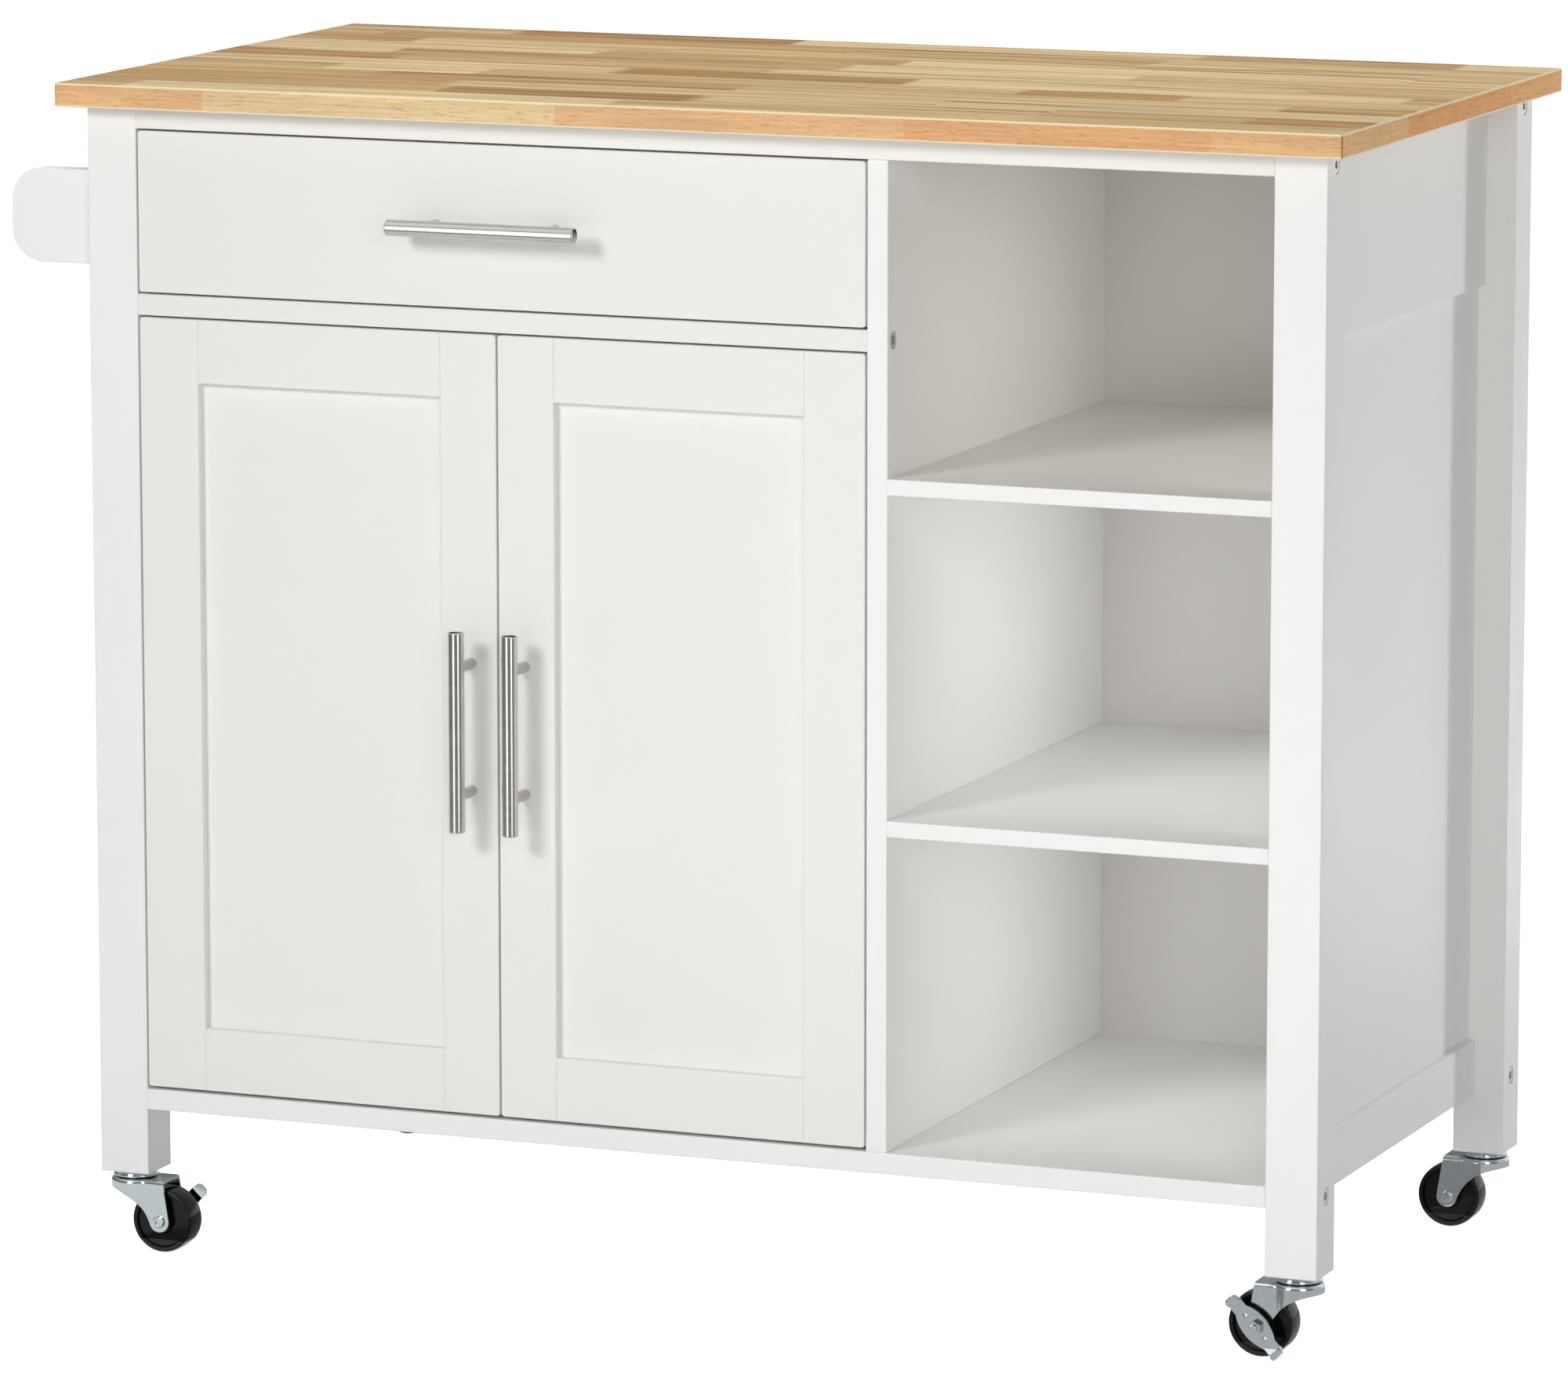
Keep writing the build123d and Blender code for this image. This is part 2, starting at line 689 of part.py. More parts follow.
def caster_fork():
    """A pressed sheet fork: a hollow crown and cheeks, trimmed to its side outline."""
    crown_radius = crown_diameter / 2
    tail = caster_trail + 2 * fork_lobe_radius
    low_z = axle_z - 2 * fork_lobe_radius
    outer = fork_outline(crown_radius, fork_half, tail, fork_blend_radius)
    outer = extrude(Pos(0, 0, low_z) * outer, crown_top - low_z)
    outer = fillet(outer.faces().sort_by(Axis.Z)[-1].edges(), fork_shoulder)
    inner_blend = fork_blend_radius + fork_sheet
    inner = fork_outline(crown_radius - fork_sheet, fork_half - fork_sheet, 2 * tail, inner_blend)
    hollow = extrude(Pos(0, 0, low_z) * inner, crown_top - fork_sheet - low_z)
    nose = (-crown_radius, crown_top - fork_nose_height)
    tail_top = (fork_tail, crown_top)
    brow = (-crown_radius, crown_top)
    hollow_middle, hollow_end = hollow_edge(*nose)
    outline = ThreePointArc(nose, hollow_middle, hollow_end)
    outline += Polyline(hollow_end, tangent_point(*tail_top, -1), tail_top, brow, nose)
    side = Plane.XZ * (make_face(outline) + Pos(caster_trail, axle_z) * Circle(fork_lobe_radius))
    fork = (outer - hollow) & extrude(side, crown_diameter, both=True)
    fork -= rod((0, 0, low_z), (0, 0, 1), kingpin_diameter + 2 * axle_clear, crown_top - low_z)
    return fork - rod((caster_trail, -crown_diameter, axle_z), (0, 1, 0), axle_diameter, 2 * crown_diameter)


def axle_head(seat, outward):
    """A round rivet head with a shallow recess in its face."""
    head = domed_rod(seat, outward, axle_head_diameter, axle_head_height, axle_head_ease)
    face = along(seat, outward, axle_head_height)
    return head - rod(face, opposite(outward), axle_recess_diameter, axle_recess_depth)


def caster_axle(braked):
    """The wheel's axle: headed at both cheeks, or carried out past a spacer to a nut over the lever."""
    near = (caster_trail, -fork_half, axle_z)
    far = (caster_trail, fork_half, axle_z)
    axle = rod(near, (0, 1, 0), axle_diameter, 2 * fork_half) + axle_head(near, (0, -1, 0))
    if not braked:
        return axle + axle_head(far, (0, 1, 0))
    nut_y = lever_face + lever_gap
    axle += rod(far, (0, 1, 0), spacer_diameter, lever_back - lever_gap - fork_half)
    axle += rod(far, (0, 1, 0), axle_diameter, nut_y - fork_half)
    axle += hexagon((caster_trail, nut_y, axle_z), (0, 1, 0), nut_across_flats, nut_height)
    tip = (caster_trail, nut_y + nut_height, axle_z)
    return axle + domed_rod(tip, (0, 1, 0), axle_diameter, axle_head_height, axle_head_ease)


def caster_wheel():
    """A moulded wheel: crowned tread, raised rim, dished sides and a hub that runs on the axle."""
    bore = axle_diameter / 2 + axle_clear
    hub, tread = wheel_hub_diameter / 2, wheel_diameter / 2
    half, shoulder = wheel_width / 2, tread - wheel_crown
    dish, dish_y = shoulder - wheel_rim, half - wheel_dish
    slope = wheel_dish / 2
    corners = [(shoulder, half), (dish, half), (dish - slope, dish_y)]
    corners += [(hub + slope, dish_y), (hub, half), (bore, half)]
    lower = [(r, -y) for r, y in reversed(corners)]
    profile = make_face(Polyline(*corners, *lower) + ThreePointArc(lower[-1], (tread, 0), corners[0]))
    profile = fillet(profile.vertices().sort_by(Axis.X)[-2:], wheel_edge_radius)
    return Pos(caster_trail, 0, axle_z) * revolve(profile, Axis.Y)


def lever_arm():
    """A strip from the lever's middle to a tab that bends outwards, with its tip corners rounded."""
    bend = math.radians(lever_tab_bend)
    ahead, out = math.cos(bend), math.sin(bend)
    reach = lever_length / 2
    tip = (reach + lever_tab_reach * ahead, lever_tab_reach * out)
    tip_front = (tip[0] - lever_sheet * out, tip[1] + lever_sheet * ahead)
    fold_front = (reach - lever_sheet * math.tan(bend / 2), lever_sheet)
    outline = Polyline((0, 0), (reach, 0), tip, tip_front, fold_front, (0, lever_sheet), close=True)
    strip = extrude(Plane.XZ * make_face(outline), lever_tab_width / 2, both=True)
    tip_face = strip.faces().sort_by(Axis((0, 0, 0), (ahead, 0, out)))[-1]
    return fillet(tip_face.edges().filter_by(Axis.Y, reverse=True), lever_tab_corner)


def brake_lever():
    """A lens-shaped pedal plate on the axle, with a tab bent outwards at each end."""
    lean = math.radians(lever_angle)
    uphill = (math.cos(lean), 0, math.sin(lean))
    plane = Plane(origin=(caster_trail, lever_back, axle_z), x_dir=uphill, z_dir=(0, 1, 0))
    half_length, half_width = lever_length / 2, lever_lens_width / 2
    radius = (half_length ** 2 + half_width ** 2) / (2 * half_width)
    lens = (Pos(0, radius - half_width) * Circle(radius)) & (Pos(0, half_width - radius) * Circle(radius))
    lever = extrude(lens, lever_sheet) + lever_arm() + Rot(0, 0, 180) * lever_arm()
    bore = axle_diameter + 2 * axle_clear
    return plane * (lever - rod((0, 0, 0), (0, 0, 1), bore, lever_sheet))


def build_casters():
    stems = []
    for end in (FRONT, BACK):
        for side in (LEFT, RIGHT):
            turn = 0 if side == LEFT else 180
            place = Pos(side * leg_centre_x, end * leg_centre_y, 0) * Rot(0, 0, turn)
            name = f"caster_{end_name(end)}_{side_name(side)}"
            braked = end == FRONT
            stems.append(place * caster_stem())
            add(f"{name}_fork", place * caster_fork())
            add(f"{name}_axle", place * caster_axle(braked))
            add(f"{name}_wheel", place * caster_wheel())
            if braked:
                add(f"{name}_brake", place * brake_lever())
    add("caster_stems", *stems)


build_frame()
build_sides()
build_shelves()
build_towel_rail()
drawer_box()
build_doors()
build_casters()

os.makedirs("parts", exist_ok=True)
to_origin = Pos(shift_x, shift_y, 0)
for node, solids in nodes.items():
    moved = [to_origin * solid for solid in solids]
    export_step(moved[0] if len(moved) == 1 else Compound(children=moved), f"parts/{node}.step")
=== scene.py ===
import json
import math

import bmesh
import bpy
import numpy as np
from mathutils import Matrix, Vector


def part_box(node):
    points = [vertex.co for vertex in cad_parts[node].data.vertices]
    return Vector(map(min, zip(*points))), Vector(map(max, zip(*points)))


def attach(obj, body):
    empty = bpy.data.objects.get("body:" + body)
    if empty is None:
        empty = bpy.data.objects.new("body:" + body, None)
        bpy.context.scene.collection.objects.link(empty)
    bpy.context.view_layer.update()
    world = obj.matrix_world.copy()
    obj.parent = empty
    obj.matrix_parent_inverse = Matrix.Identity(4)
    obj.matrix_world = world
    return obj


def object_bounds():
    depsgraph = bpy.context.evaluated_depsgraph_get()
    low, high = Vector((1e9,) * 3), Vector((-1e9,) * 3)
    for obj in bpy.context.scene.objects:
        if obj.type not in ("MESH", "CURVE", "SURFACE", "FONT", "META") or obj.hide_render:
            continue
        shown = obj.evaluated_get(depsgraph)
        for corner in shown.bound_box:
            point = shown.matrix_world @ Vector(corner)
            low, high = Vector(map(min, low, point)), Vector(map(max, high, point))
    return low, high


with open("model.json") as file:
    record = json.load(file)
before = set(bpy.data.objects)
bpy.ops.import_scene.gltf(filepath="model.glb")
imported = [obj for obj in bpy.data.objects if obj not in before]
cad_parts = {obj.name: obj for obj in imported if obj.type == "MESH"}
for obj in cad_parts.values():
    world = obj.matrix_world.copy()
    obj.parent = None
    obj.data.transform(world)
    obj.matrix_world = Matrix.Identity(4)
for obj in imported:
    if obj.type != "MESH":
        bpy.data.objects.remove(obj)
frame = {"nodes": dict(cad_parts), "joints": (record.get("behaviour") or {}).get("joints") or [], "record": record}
cad_low, cad_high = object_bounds()

MM = 0.001
SLOT_OF = {row["node"]: row["material_slot"] for row in frame["record"]["subparts"]}

# The camera stands where the photograph was taken from: metres, degrees and a 36 mm sensor
CAMERA_PLACE = (2.4334, -6.0332, 1.5212)
CAMERA_PITCH = 9.582
CAMERA_YAW = 21.93
CAMERA_LENS = 198.87


def srgb(code):
    """An sRGB hex colour as linear RGBA."""
    parts = [int(code[i:i + 2], 16) / 255 for i in (1, 3, 5)]
    return tuple(c / 12.92 if c <= 0.04045 else ((c + 0.055) / 1.055) ** 2.4 for c in parts) + (1.0,)


def add_node(tree, kind, *inputs, **settings):
    """Adds a node. Plain arguments fill its inputs in order, a keyword with a capital letter fills the input
    of that name, and any other keyword is one of the node's own settings. A node or a socket is linked."""
    made = tree.nodes.new("ShaderNode" + kind)
    for name in [name for name in settings if name[0].islower()]:
        setattr(made, name, settings.pop(name))
    sockets = [socket for socket in made.inputs if socket.enabled]
    named = {socket.name.replace(" ", "_"): socket for socket in reversed(sockets)}
    filled = list(zip(sockets, inputs)) + [(named[name], settings[name]) for name in settings]
    for socket, value in filled:
        if isinstance(value, bpy.types.Node):
            value = next(output for output in value.outputs if output.enabled)
        if isinstance(value, bpy.types.NodeSocket):
            tree.links.new(value, socket)
        else:
            socket.default_value = value
    return made


def new_material(name):
    """An empty material, and the tree to fill."""
    material = bpy.data.materials.new(name)
    material.use_nodes = True
    material.node_tree.nodes.clear()
    return material, material.node_tree


def set_stops(ramp, stops, steps=False):
    """Gives a colour ramp its stops, from a list of positions and hex colours in rising order."""
    ramp.interpolation = "CONSTANT" if steps else "LINEAR"
    ramp.elements[-1].position = stops[-1][0]
    for position, code in stops[1:-1]:
        ramp.elements.new(position)
    for stop, (position, code) in zip(ramp.elements, stops):
        stop.position, stop.color = position, srgb(code)


# Materials


def finger_jointed_rubberwood(low, high):
    """Rubberwood staves, finger-jointed end to end and glued side by side, sanded and clear lacquered.

    The eye gets bands of tan that change from stave to stave, long brown heart streaks, short dark pores and
    a soft sheen. The sawn edges take the lacquer warmer than the face, and the eased arris is painted paler as a
    highlight.
    The ends are faced with a strip, so their grain runs along Y.
    """
    stave_rows = 12
    stave_width = (high.y - low.y) / stave_rows
    shortest_stave, stave_spread = 190 * MM, 230 * MM
    finger_pitch, finger_length = 7 * MM, 9 * MM
    glue_line = 0.7 * MM
    length_swing, swing_rate, swing_step = 50 * MM, 12.0, 2.4
    wander_length, wander_width = 160 * MM, 14 * MM
    row_shift, grain_spread = 7.7, 40.0
    upright, level_share = 0.7, 0.6
    # The joints that show along the front edge and the right end, with each stave's tone
    front_staves = [(0.0, "#FDCA92"), (0.119, "#FDDEA9"), (0.399, "#FBC993"), (0.671, "#F9BE87"),
                    (0.899, "#FCCB91")]
    end_staves = [(0.0, "#F9C588"), (0.285, "#F5AF6C"), (0.75, "#F7BA78")]

    material, tree = new_material("finger_jointed_rubberwood")
    place = add_node(tree, "TexCoord")
    point = add_node(tree, "SeparateXYZ", place.outputs["Object"])
    facing = add_node(tree, "SeparateXYZ", place.outputs["Normal"])
    end_facing = add_node(tree, "Math", facing.outputs["X"], operation="ABSOLUTE")
    on_end = add_node(tree, "Math", end_facing, upright, operation="GREATER_THAN")
    on_face = add_node(tree, "Math", facing.outputs["Z"], operation="ABSOLUTE")
    along = add_node(tree, "Mix", on_end, point.outputs["X"], point.outputs["Y"])
    across = add_node(tree, "Mix", on_end, point.outputs["Y"], point.outputs["X"])

    # Rows run from the front, and the end strips are rows of their own, 37 and 43
    from_front = add_node(tree, "Math", point.outputs["Y"], low.y, operation="SUBTRACT")
    rows = add_node(tree, "Math", from_front, stave_width, operation="DIVIDE")
    side = add_node(tree, "Math", point.outputs["X"], operation="SIGN")
    end_row = add_node(tree, "Math", side, 3.0, 40.0, operation="MULTIPLY_ADD")
    face_row = add_node(tree, "Math", rows, operation="FLOOR")
    row = add_node(tree, "Mix", on_end, face_row, end_row)
    chance = add_node(tree, "TexWhiteNoise", row, noise_dimensions="1D")
    row_chance = add_node(tree, "SeparateColor", chance.outputs["Color"])

    # One stave ends and the next begins along a row at a triangle wave of fingers
    fingers = add_node(tree, "Math", across, finger_pitch / 2, operation="PINGPONG")
    finger_slope = finger_length / (finger_pitch / 2)
    fingered = add_node(tree, "Math", fingers, finger_slope, along, operation="MULTIPLY_ADD")
    phase = add_node(tree, "Math", row, swing_step, operation="MULTIPLY")
    wave = add_node(tree, "Math", along, swing_rate, phase, operation="MULTIPLY_ADD")
    swing = add_node(tree, "Math", wave, operation="SINE")
    uneven = add_node(tree, "Math", swing, length_swing, fingered, operation="MULTIPLY_ADD")
    length = add_node(tree, "Math", row_chance.outputs[0], stave_spread, shortest_stave,
                      operation="MULTIPLY_ADD")
    lengths = add_node(tree, "Math", uneven, length, operation="DIVIDE")
    counted = add_node(tree, "Math", row_chance.outputs[1], row_shift, lengths, operation="MULTIPLY_ADD")
    number = add_node(tree, "Math", counted, operation="FLOOR")
    stave = add_node(tree, "CombineXYZ", row, number, on_end)
    lot = add_node(tree, "TexWhiteNoise", stave, noise_dimensions="3D")
    lot_chance = add_node(tree, "SeparateColor", lot.outputs["Color"])

    # Each stave is cut from its own place in the grain, and the grain wanders a little across it
    cut_from = add_node(tree, "VectorMath", lot.outputs["Color"], (grain_spread,) * 3, operation="MULTIPLY")
    wander_along = add_node(tree, "Math", along, wander_length, operation="DIVIDE")
    wander_at = add_node(tree, "CombineXYZ", wander_along, row, lot.outputs["Value"])
    wander = add_node(tree, "TexNoise", wander_at, Scale=1.0, Detail=1.0)
    centred = add_node(tree, "Math", wander, 0.5, operation="SUBTRACT")
    wandered = add_node(tree, "Math", centred, wander_width, across, operation="MULTIPLY_ADD")
    grain_place = add_node(tree, "CombineXYZ", along, wandered, point.outputs["Z"])

    def drawn_out(length_mm, width_mm, detail, roughness=0.5):
        """Noise drawn out along the stave to the given length and width."""
        stretch = (1 / (length_mm * MM), 1 / (width_mm * MM), 1 / (width_mm * MM))
        spot = add_node(tree, "VectorMath", grain_place, stretch, cut_from, operation="MULTIPLY_ADD")
        return add_node(tree, "TexNoise", spot, Scale=1.0, Detail=detail, Roughness=roughness)

    bands = drawn_out(260, 11, 3.0)
    streaks = drawn_out(70, 1.7, 2.0, 0.6)
    # Pores are finer than the picture shows, so they are drawn about twice their real width
    pore_noise = drawn_out(10, 0.9, 1.0)
    heart_noise = drawn_out(420, 12, 3.0, 0.6)

    # The face's staves take a tone by lot, and those along the front edge and the ends have their own
    by_lot = add_node(tree, "ValToRGB", lot.outputs["Value"])
    set_stops(by_lot.color_ramp, [(0.0, "#B28A58"), (0.16, "#CBA775"), (0.4, "#DBBD8A"), (0.66, "#EFD6A6"),
                                  (0.84, "#DCBB87"), (1.0, "#C29A66")])
    front_share = add_node(tree, "MapRange", point.outputs["X"], low.x, high.x)
    front_tone = add_node(tree, "ValToRGB", front_share)
    set_stops(front_tone.color_ramp, front_staves, steps=True)
    end_share = add_node(tree, "MapRange", point.outputs["Y"], low.y, high.y)
    end_tone = add_node(tree, "ValToRGB", end_share)
    set_stops(end_tone.color_ramp, end_staves, steps=True)
    edge_tone = add_node(tree, "Mix", on_end, front_tone, end_tone, data_type="RGBA")
    face_share = add_node(tree, "Math", on_face, level_share, operation="GREATER_THAN")
    tone = add_node(tree, "Mix", face_share, edge_tone, by_lot, data_type="RGBA")

    # Heart streaks run in about a third of the staves of the face
    heart_stave = add_node(tree, "Math", lot_chance.outputs[1], 0.6, operation="GREATER_THAN")
    heart_streak = add_node(tree, "MapRange", heart_noise, 0.50, 0.66, interpolation_type="SMOOTHSTEP")
    heart = add_node(tree, "Math", heart_stave, heart_streak, operation="MULTIPLY")
    pore_edge = add_node(tree, "MapRange", face_share, 0.0, 1.0, 0.59, 0.61)
    pore_full = add_node(tree, "Math", pore_edge, 0.10, operation="ADD")
    pores = add_node(tree, "MapRange", pore_noise, pore_edge, pore_full, interpolation_type="SMOOTHSTEP")
    # The edges show the grain fainter than the face does
    band_dark = add_node(tree, "MapRange", face_share, 0.0, 1.0, 0.88, 0.72)
    band_pale = add_node(tree, "MapRange", face_share, 0.0, 1.0, 1.10, 1.15)
    band_shade = add_node(tree, "MapRange", bands, 0.32, 0.70, band_pale, band_dark)
    streak_shade = add_node(tree, "MapRange", streaks, 0.3, 0.7, 1.08, 0.90)
    seam = add_node(tree, "Math", rows, 0.5, operation="PINGPONG")
    seam_shade = add_node(tree, "MapRange", seam, 0.0, glue_line / stave_width, 0.84, 1.0)
    grain_shade = add_node(tree, "Math", band_shade, streak_shade, operation="MULTIPLY")
    shade = add_node(tree, "Math", grain_shade, seam_shade, operation="MULTIPLY")
    shaded = add_node(tree, "VectorMath", tone.outputs["Result"], Scale=shade, operation="SCALE")
    heart_amount = add_node(tree, "Math", heart, 0.75, operation="MULTIPLY")
    hearted = add_node(tree, "Mix", heart_amount, shaded, srgb("#8A623E"), data_type="RGBA")
    pore_depth = add_node(tree, "MapRange", face_share, 0.0, 1.0, 0.30, 0.42)
    pore_amount = add_node(tree, "Math", pores, pore_depth, operation="MULTIPLY")
    pored = add_node(tree, "Mix", pore_amount, hearted, srgb("#97602F"), data_type="RGBA")

    # The eased arris lies between the upright faces and the level ones, and gets a pale painted highlight there
    slant = add_node(tree, "Math", on_face, 0.5, operation="SUBTRACT")
    level = add_node(tree, "Math", slant, operation="ABSOLUTE")
    arris_highlight = add_node(tree, "MapRange", level, 0.36, 0.49, 0.85, 0.0)
    highlighted = add_node(tree, "Mix", arris_highlight, pored, srgb("#FFF0CE"), data_type="RGBA")
    # The upright corners show the dark glue line of the end strips
    side_facing = add_node(tree, "Math", facing.outputs["Y"], operation="ABSOLUTE")
    corner = add_node(tree, "Math", end_facing, side_facing, operation="MULTIPLY")
    glued = add_node(tree, "MapRange", corner, 0.1, 0.4, 0.0, 0.55)
    cornered = add_node(tree, "Mix", glued, highlighted, srgb("#7A4F28"), data_type="RGBA")
    # The underside has no lacquer, so it is paler
    underneath = add_node(tree, "MapRange", facing.outputs["Z"], -0.6, -0.8, 0.0, 0.7)
    colour = add_node(tree, "Mix", underneath, cornered, srgb("#EADFCB"), data_type="RGBA")
    roughness = add_node(tree, "MapRange", streaks, 0.3, 0.7, 0.46, 0.58)
    relief = add_node(tree, "Math", streaks, 0.4, operation="MULTIPLY")
    height = add_node(tree, "Math", pores, -1.0, relief, operation="MULTIPLY_ADD")
    bump = add_node(tree, "Bump", Strength=0.35, Distance=0.12 * MM, Height=height)
    shader = add_node(tree, "BsdfPrincipled", Base_Color=colour, Roughness=roughness, Normal=bump, IOR=1.5,
                      Specular_IOR_Level=0.2)
    add_node(tree, "OutputMaterial", shader)
    return material


def satin_paint(name, code):
    """Satin paint sprayed on fibreboard: a near-even white with a fine orange peel in its sheen."""
    material, tree = new_material(name)
    place = add_node(tree, "TexCoord").outputs["Object"]
    drift = add_node(tree, "TexNoise", place, Scale=1 / (180 * MM), Detail=3.0)
    white = srgb(code)
    paler = tuple(min(1.0, part * 1.015) for part in white[:3]) + (1.0,)
    darker = tuple(part * 0.985 for part in white[:3]) + (1.0,)
    colour = add_node(tree, "Mix", drift, darker, paler, data_type="RGBA")
    # Real orange peel is about 1 mm across; it is drawn at 2.5 mm so that it shows
    peel = add_node(tree, "TexNoise", place, Scale=1 / (2.5 * MM), Detail=2.0)
    bump = add_node(tree, "Bump", Strength=0.12, Distance=0.08 * MM, Height=peel)
    roughness = add_node(tree, "MapRange", drift, 0.3, 0.7, 0.40, 0.48)
    shader = add_node(tree, "BsdfPrincipled", Base_Color=colour, Roughness=roughness, Normal=bump, IOR=1.5)
    add_node(tree, "OutputMaterial", shader)
    return material


def ground_stainless(name, length_axis):
    """Stainless bar, centreless-ground and satin polished.

    Fine rings round the bar draw its highlights out along it.
    """
    material, tree = new_material(name)
    place = add_node(tree, "TexCoord").outputs["Object"]
    # The rings are about 0.05 mm apart, so the shader gives their sheen and only their cloudy bands are drawn
    stretch = tuple(1 / ((4 if part else 60) * MM) for part in length_axis)
    spot = add_node(tree, "VectorMath", place, stretch, operation="MULTIPLY")
    rings = add_node(tree, "TexNoise", spot, Scale=1.0, Detail=1.0)
    colour = add_node(tree, "Mix", rings, srgb("#C6C4BF"), srgb("#D2D0CB"), data_type="RGBA")
    roughness = add_node(tree, "MapRange", rings, 0.3, 0.7, 0.20, 0.23)
    along = add_node(tree, "CombineXYZ", *length_axis)
    shader = add_node(tree, "BsdfPrincipled", Base_Color=colour, Metallic=1.0, Roughness=roughness,
                      Anisotropic=0.9, Tangent=along)
    add_node(tree, "OutputMaterial", shader)
    return material


def plated_steel(name, dull, bright, smooth, rough):
    """Pressed steel under bright plating: clean metal with cloudy patches where the plating is duller."""
    material, tree = new_material(name)
    place = add_node(tree, "TexCoord").outputs["Object"]
    clouds = add_node(tree, "TexNoise", place, Scale=1 / (6 * MM), Detail=4.0)
    # The plating's grain is about 0.2 mm; it is drawn at 0.8 mm so that it shows
    grit = add_node(tree, "TexNoise", place, Scale=1 / (0.8 * MM), Detail=2.0)
    colour = add_node(tree, "Mix", clouds, srgb(dull), srgb(bright), data_type="RGBA")
    roughness = add_node(tree, "MapRange", clouds, 0.3, 0.7, smooth, rough)
    bump = add_node(tree, "Bump", Strength=0.1, Distance=0.04 * MM, Height=grit)
    shader = add_node(tree, "BsdfPrincipled", Base_Color=colour, Metallic=1.0, Roughness=roughness,
                      Normal=bump)
    add_node(tree, "OutputMaterial", shader)
    return material


def moulded_black_nylon():
    """Glossy black nylon straight from a polished mould, with faint flow marks."""
    material, tree = new_material("moulded_black_nylon")
    place = add_node(tree, "TexCoord").outputs["Object"]
    flow = add_node(tree, "TexNoise", place, Scale=1 / (9 * MM), Detail=3.0)
    colour = add_node(tree, "Mix", flow, srgb("#070707"), srgb("#0F0F10"), data_type="RGBA")
    roughness = add_node(tree, "MapRange", flow, 0.3, 0.7, 0.08, 0.14)
    bump = add_node(tree, "Bump", Strength=0.08, Distance=0.05 * MM, Height=flow)
    shader = add_node(tree, "BsdfPrincipled", Base_Color=colour, Roughness=roughness, Normal=bump, IOR=1.53,
                      Specular_IOR_Level=0.25)
    add_node(tree, "OutputMaterial", shader)
    return material


# The thin back and the drawer's bottom are faced hardboard, a little greyer than the paint. The back's grey is
# also painted shade for the deep open bays
FINISHES = {
    "butcher_block": finger_jointed_rubberwood(*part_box("butcher_block_top")),
    "white_paint": satin_paint("satin_white_paint", "#F9F8F6"),
    "hardboard": satin_paint("white_faced_hardboard", "#E6E4E0"),
    "zinc_plate": plated_steel("bright_zinc_plate", "#C1CACE", "#D7DEE1", 0.09, 0.15),
    "nickel_steel": plated_steel("nickel_plated_steel", "#B5B2AC", "#D0CDC7", 0.20, 0.30),
    "black_wheel": moulded_black_nylon(),
    "brushed_stainless": ground_stainless("ground_stainless_upright", (0, 0, 1)),
}
OWN_FINISH = {
    # The back panel takes the greyer hardboard, which also paints the shade at the back of the bays
    "back_panel": FINISHES["hardboard"],
    "drawer_handle": ground_stainless("ground_stainless_across", (1, 0, 0)),
    "frame_bolts": plated_steel("nickelled_bolt_steel", "#CFCFCC", "#EDEDEA", 0.34, 0.44),
}
# The doors and the drawer front are painted apart from the frame, and are a little duller. The front rails take
# the same duller paint as painted shade from the worktop's overhang
front_paint_and_rail_shade = satin_paint("satin_front_paint", "#F3F2EF")
for name, slot in SLOT_OF.items():
    painted_door = name.startswith("door_") and slot == "white_paint"
    if painted_door or name in ("drawer_front", "mid_rail", "top_rail_front"):
        OWN_FINISH[name] = front_paint_and_rail_shade

for name, piece in frame["nodes"].items():
    piece.data.materials.clear()
    piece.data.materials.append(OWN_FINISH.get(name, FINISHES[SLOT_OF[name]]))


# The pips of the brake levers


def mesh_piece(name, points, faces, material):
    """An object at the origin from corner points and faces."""
    mesh = bpy.data.meshes.new(name)
    mesh.from_pydata(points.tolist(), [], faces)
    mesh.materials.append(material)
    piece = bpy.data.objects.new(name, mesh)
    bpy.context.scene.collection.objects.link(piece)
    return piece


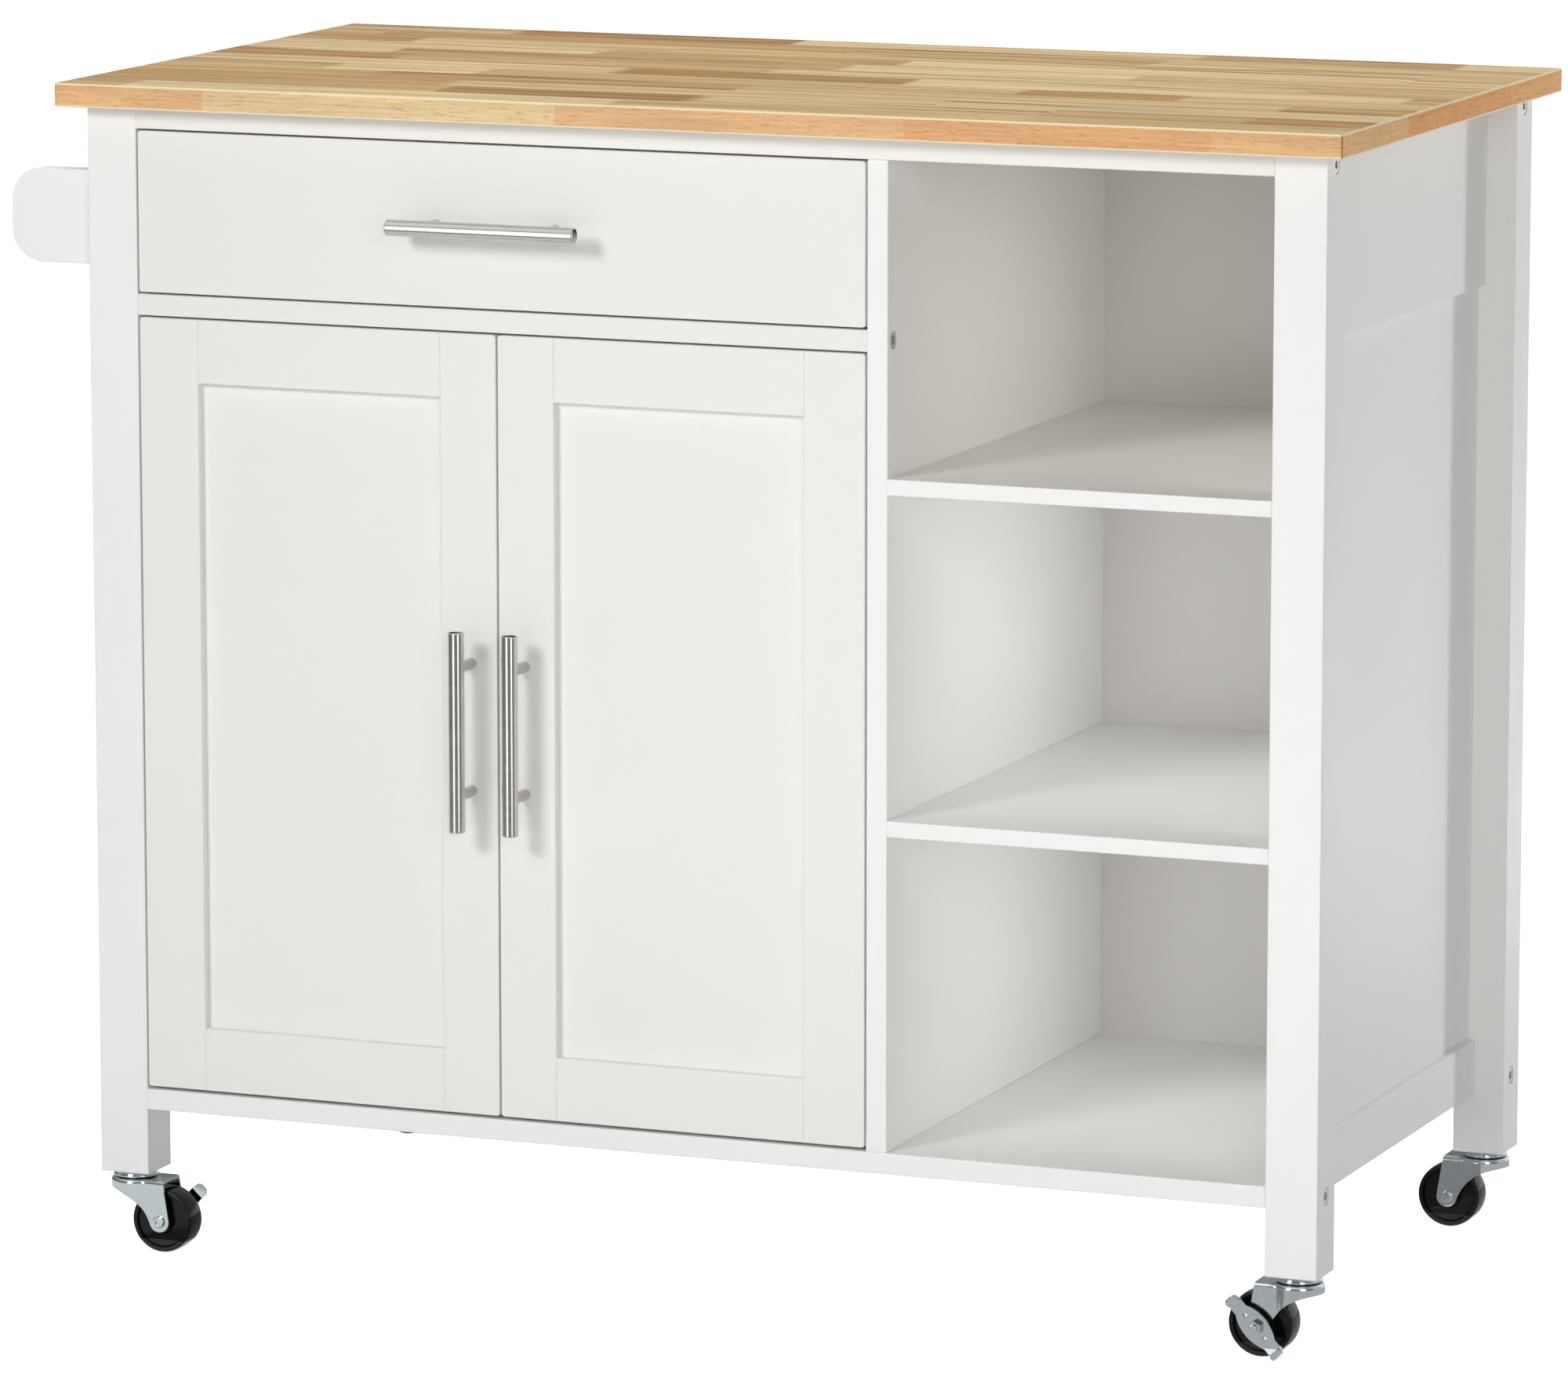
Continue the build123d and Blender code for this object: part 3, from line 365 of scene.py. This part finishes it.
def brake_pips(caster):
    """Two round pips pressed out of a brake lever's plate, on either side of its nut.

    A grid of turn a and share s from foot to crown: the radius is foot times 1 - s, and the height is crown
    times the squared sine of s quarter turns, so the foot runs smoothly into the plate. A cone closes it
    underneath.
    """
    foot, crown, sunk, apart = 2.0 * MM, 1.0 * MM, 0.4 * MM, 11 * MM
    plate, lean = 1.8 * MM, math.radians(47)
    press = next(joint for joint in frame["joints"] if joint["name"] == caster + "_brake_press")
    outward = np.array(press["axis"], float)
    low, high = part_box(caster + "_brake")
    face = (low.y if outward[1] > 0 else high.y) + outward[1] * plate
    middle = np.array([press["pos_m"][0], face, press["pos_m"][2]])
    uphill = np.array([outward[1] * math.cos(lean), 0, math.sin(lean)])
    across = np.cross(outward, uphill)

    turn = np.linspace(0, 2 * np.pi, 20, endpoint=False)
    share = np.linspace(0, 1, 8)
    radius = np.concatenate([[0], foot * (1 - share)])
    height = np.concatenate([[-sunk], crown * np.sin(share * np.pi / 2) ** 2])
    ring = np.outer(np.cos(turn), uphill) + np.outer(np.sin(turn), across)
    pip = radius[:, None, None] * ring + height[:, None, None] * outward
    points = np.stack([pip + middle + side * apart * uphill for side in (-1, 1)]).reshape(-1, 3)

    row, column = np.mgrid[0:len(radius) - 1, 0:len(turn)].reshape(2, -1)
    after = (column + 1) % len(turn)
    corners = [row * len(turn) + column, row * len(turn) + after]
    one = np.stack([*corners, corners[1] + len(turn), corners[0] + len(turn)], axis=1)
    faces = np.concatenate([one, one + pip.shape[0] * pip.shape[1]])
    piece = mesh_piece(caster + "_brake_pips", points, faces.tolist(), FINISHES["zinc_plate"])

    # The rings at the foot's middle and at the crown are single points
    shell = bmesh.new()
    shell.from_mesh(piece.data)
    bmesh.ops.remove_doubles(shell, verts=shell.verts, dist=0.001 * MM)
    bmesh.ops.recalc_face_normals(shell, faces=shell.faces)
    shell.to_mesh(piece.data)
    shell.free()
    piece.data.shade_smooth()
    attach(piece, caster + "_pedal")


brake_pips("caster_front_left")
brake_pips("caster_front_right")


# Stage: a pale floor, white surroundings, soft lamps and the camera


def area_lamp(name, place, facing, width, height, watts, spread=180):
    """A soft box at a place that shines along -facing. Gloss sees the studio screens in its stead."""
    lamp = bpy.data.lights.new(name, "AREA")
    lamp.shape = "RECTANGLE"
    lamp.size, lamp.size_y, lamp.energy = width, height, watts
    lamp.spread = math.radians(spread)
    holder = bpy.data.objects.new(name, lamp)
    holder.location = place
    holder.rotation_euler = facing.to_track_quat("Z", "Y").to_euler()
    holder.visible_glossy = holder.visible_camera = False
    bpy.context.scene.collection.objects.link(holder)


def studio_lamp(name, azimuth, elevation, distance, size, level, target=None, spread=180):
    """A square soft box aimed at the cabinet. Its level is the brightness it gives a white card facing it.

    Azimuth is degrees from straight in front towards +X, elevation degrees above the floor.
    """
    target = target or Vector((0, 0, (cad_low.z + cad_high.z) / 2))
    a, e = math.radians(azimuth), math.radians(elevation)
    away = Vector((math.sin(a) * math.cos(e), -math.cos(a) * math.cos(e), math.sin(e)))
    watts = level * math.pi ** 2 * distance ** 2
    area_lamp(name, target + away * distance, away, size, size, watts, spread)


def bay_lamp(watts):
    """A soft panel on the right wall of the open bays, which shines across them on to the divider."""
    clear, set_back, raised, depth_share = 6 * MM, 40 * MM, 25 * MM, 0.66
    front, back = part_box("bay_shelf_upper")
    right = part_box("leg_front_right")[0].x - clear
    bottom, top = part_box("bottom_panel")[1].z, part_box("mid_rail")[1].z
    width = (back.y - front.y) * depth_share
    middle = Vector((right, front.y + set_back + width / 2, (bottom + top) / 2 + raised))
    area_lamp("bay_lamp", middle, Vector((1, 0, 0)), width, top - bottom, watts, spread=120)


def seen_share(tree):
    """1 for a ray from the camera, from gloss or through glass, and 0 for one that only carries light."""
    path = add_node(tree, "LightPath").outputs
    looked_at = add_node(tree, "Math", path["Is Camera Ray"], path["Is Glossy Ray"], operation="ADD")
    return add_node(tree, "Math", looked_at, path["Is Transmission Ray"], operation="MAXIMUM")


def white_surroundings(level):
    """A white world that lights at the given level and shows as plain white to the camera and in gloss."""
    world = bpy.data.worlds.new("white_surroundings")
    world.use_nodes = True
    tree = world.node_tree
    tree.nodes.clear()
    strength = add_node(tree, "Mix", seen_share(tree), level, 1.0)
    shade = add_node(tree, "Background", srgb("#FFFFFF"), strength)
    add_node(tree, "OutputWorld", shade)
    bpy.context.scene.world = world


def stage_piece(name, points, faces, material):
    """A piece of the stage from corner points and faces."""
    piece = mesh_piece(name, points, faces, material)
    return piece


def pale_floor():
    """A flat floor, square about the origin, nearly white to the eye and in gloss, with a faint shadow."""
    half, glow_level = 12.0, 0.92
    material, tree = new_material("pale_floor")
    lift = add_node(tree, "Math", seen_share(tree), glow_level, operation="MULTIPLY")
    chalk = add_node(tree, "BsdfDiffuse", srgb("#DDDDDD"))
    glow = add_node(tree, "Emission", srgb("#FFFFFF"), lift)
    both = add_node(tree, "AddShader", chalk, glow)
    add_node(tree, "OutputMaterial", both)
    corners = np.array([(-half, -half, 0), (half, -half, 0), (half, half, 0), (-half, half, 0)])
    stage_piece("floor", corners, [(0, 1, 2, 3)], material)


def studio_screen(name, first, last, profile, level):
    """A screen bent round the cabinet from one azimuth to another, which only gloss sees.

    A grid of azimuth a and profile points of radius r and height z: x is r sin a, y is -r cos a.
    """
    turn = np.radians(np.linspace(first, last, 25))
    radius, height = np.array(profile).T
    x = np.outer(np.sin(turn), radius)
    y = np.outer(-np.cos(turn), radius)
    z = np.tile(height, (len(turn), 1))
    points = np.stack([x, y, z], axis=2).reshape(-1, 3)
    row, column = np.mgrid[0:len(turn) - 1, 0:len(profile) - 1].reshape(2, -1)
    corner = row * len(profile) + column
    faces = np.stack([corner, corner + len(profile), corner + len(profile) + 1, corner + 1], axis=1)
    material, tree = new_material(name)
    add_node(tree, "OutputMaterial", add_node(tree, "Emission", srgb("#FFFFFF"), level))
    screen = stage_piece(name, points, faces.tolist(), material)
    screen.visible_camera = screen.visible_diffuse = screen.visible_shadow = False


# Each lamp's azimuth, elevation, distance, size and level
STUDIO_LAMPS = {
    "key_lamp": (-18, 26, 3.6, 0.8, 0.32),
    "broad_lamp": (30, 12, 4.5, 2.0, 0.20),
    "rim_lamp": (150, 8, 3.4, 0.2, 0.38),
    "top_lamp": (180, 76, 3.6, 1.5, 0.42),
    "left_lamp": (-105, 14, 3.6, 1.2, 0.38),
    "back_lamp": (196, 14, 4.0, 1.2, 0.05),
}
for name, setting in STUDIO_LAMPS.items():
    studio_lamp(name, *setting)
low_right = Vector((cad_high.x, cad_low.y, 200 * MM))
studio_lamp("low_fill_lamp", -12, 3, 2.6, 0.4, 0.011, target=low_right, spread=50)
bay_lamp(watts=0.35)
white_surroundings(level=0.17)
pale_floor()

# The floor is in shade under the cabinet. The grey studio and its two soft boxes give the metal dark flanks
# and bright stripes. Each profile is a list of radius and height.
under_cabinet = [(0.02, 0.01), (0.5, 0.01)]
round_cabinet = [(0.5, 0.01), (1.4, 0.01)]
far_floor_and_wall = [(1.4, 0.01), (8.0, 0.01), (8.0, 6.0)]
soft_box = [(2.1, 0.03), (2.1, 1.7)]
studio_screen("shaded_studio_floor", -180, 180, under_cabinet, 0.29)
studio_screen("pale_studio_floor", -180, 0, round_cabinet, 0.82)
studio_screen("grey_studio_floor", 0, 180, round_cabinet, 0.56)
studio_screen("grey_studio", -175, 85, far_floor_and_wall, 0.20)
studio_screen("pale_studio", 85, 130, far_floor_and_wall, 0.60)
studio_screen("left_soft_box", -27, -7, soft_box, 3.2)
studio_screen("right_soft_box", 35, 53, soft_box, 3.2)

camera = bpy.data.objects.new("camera", bpy.data.cameras.new("camera"))
camera.data.lens = CAMERA_LENS
camera.data.clip_end = 60.0
camera.location = CAMERA_PLACE
camera.rotation_euler = (math.radians(90 - CAMERA_PITCH), 0, math.radians(CAMERA_YAW))
bpy.context.scene.collection.objects.link(camera)
bpy.context.scene.camera = camera
bpy.context.scene.view_settings.view_transform = "Standard"
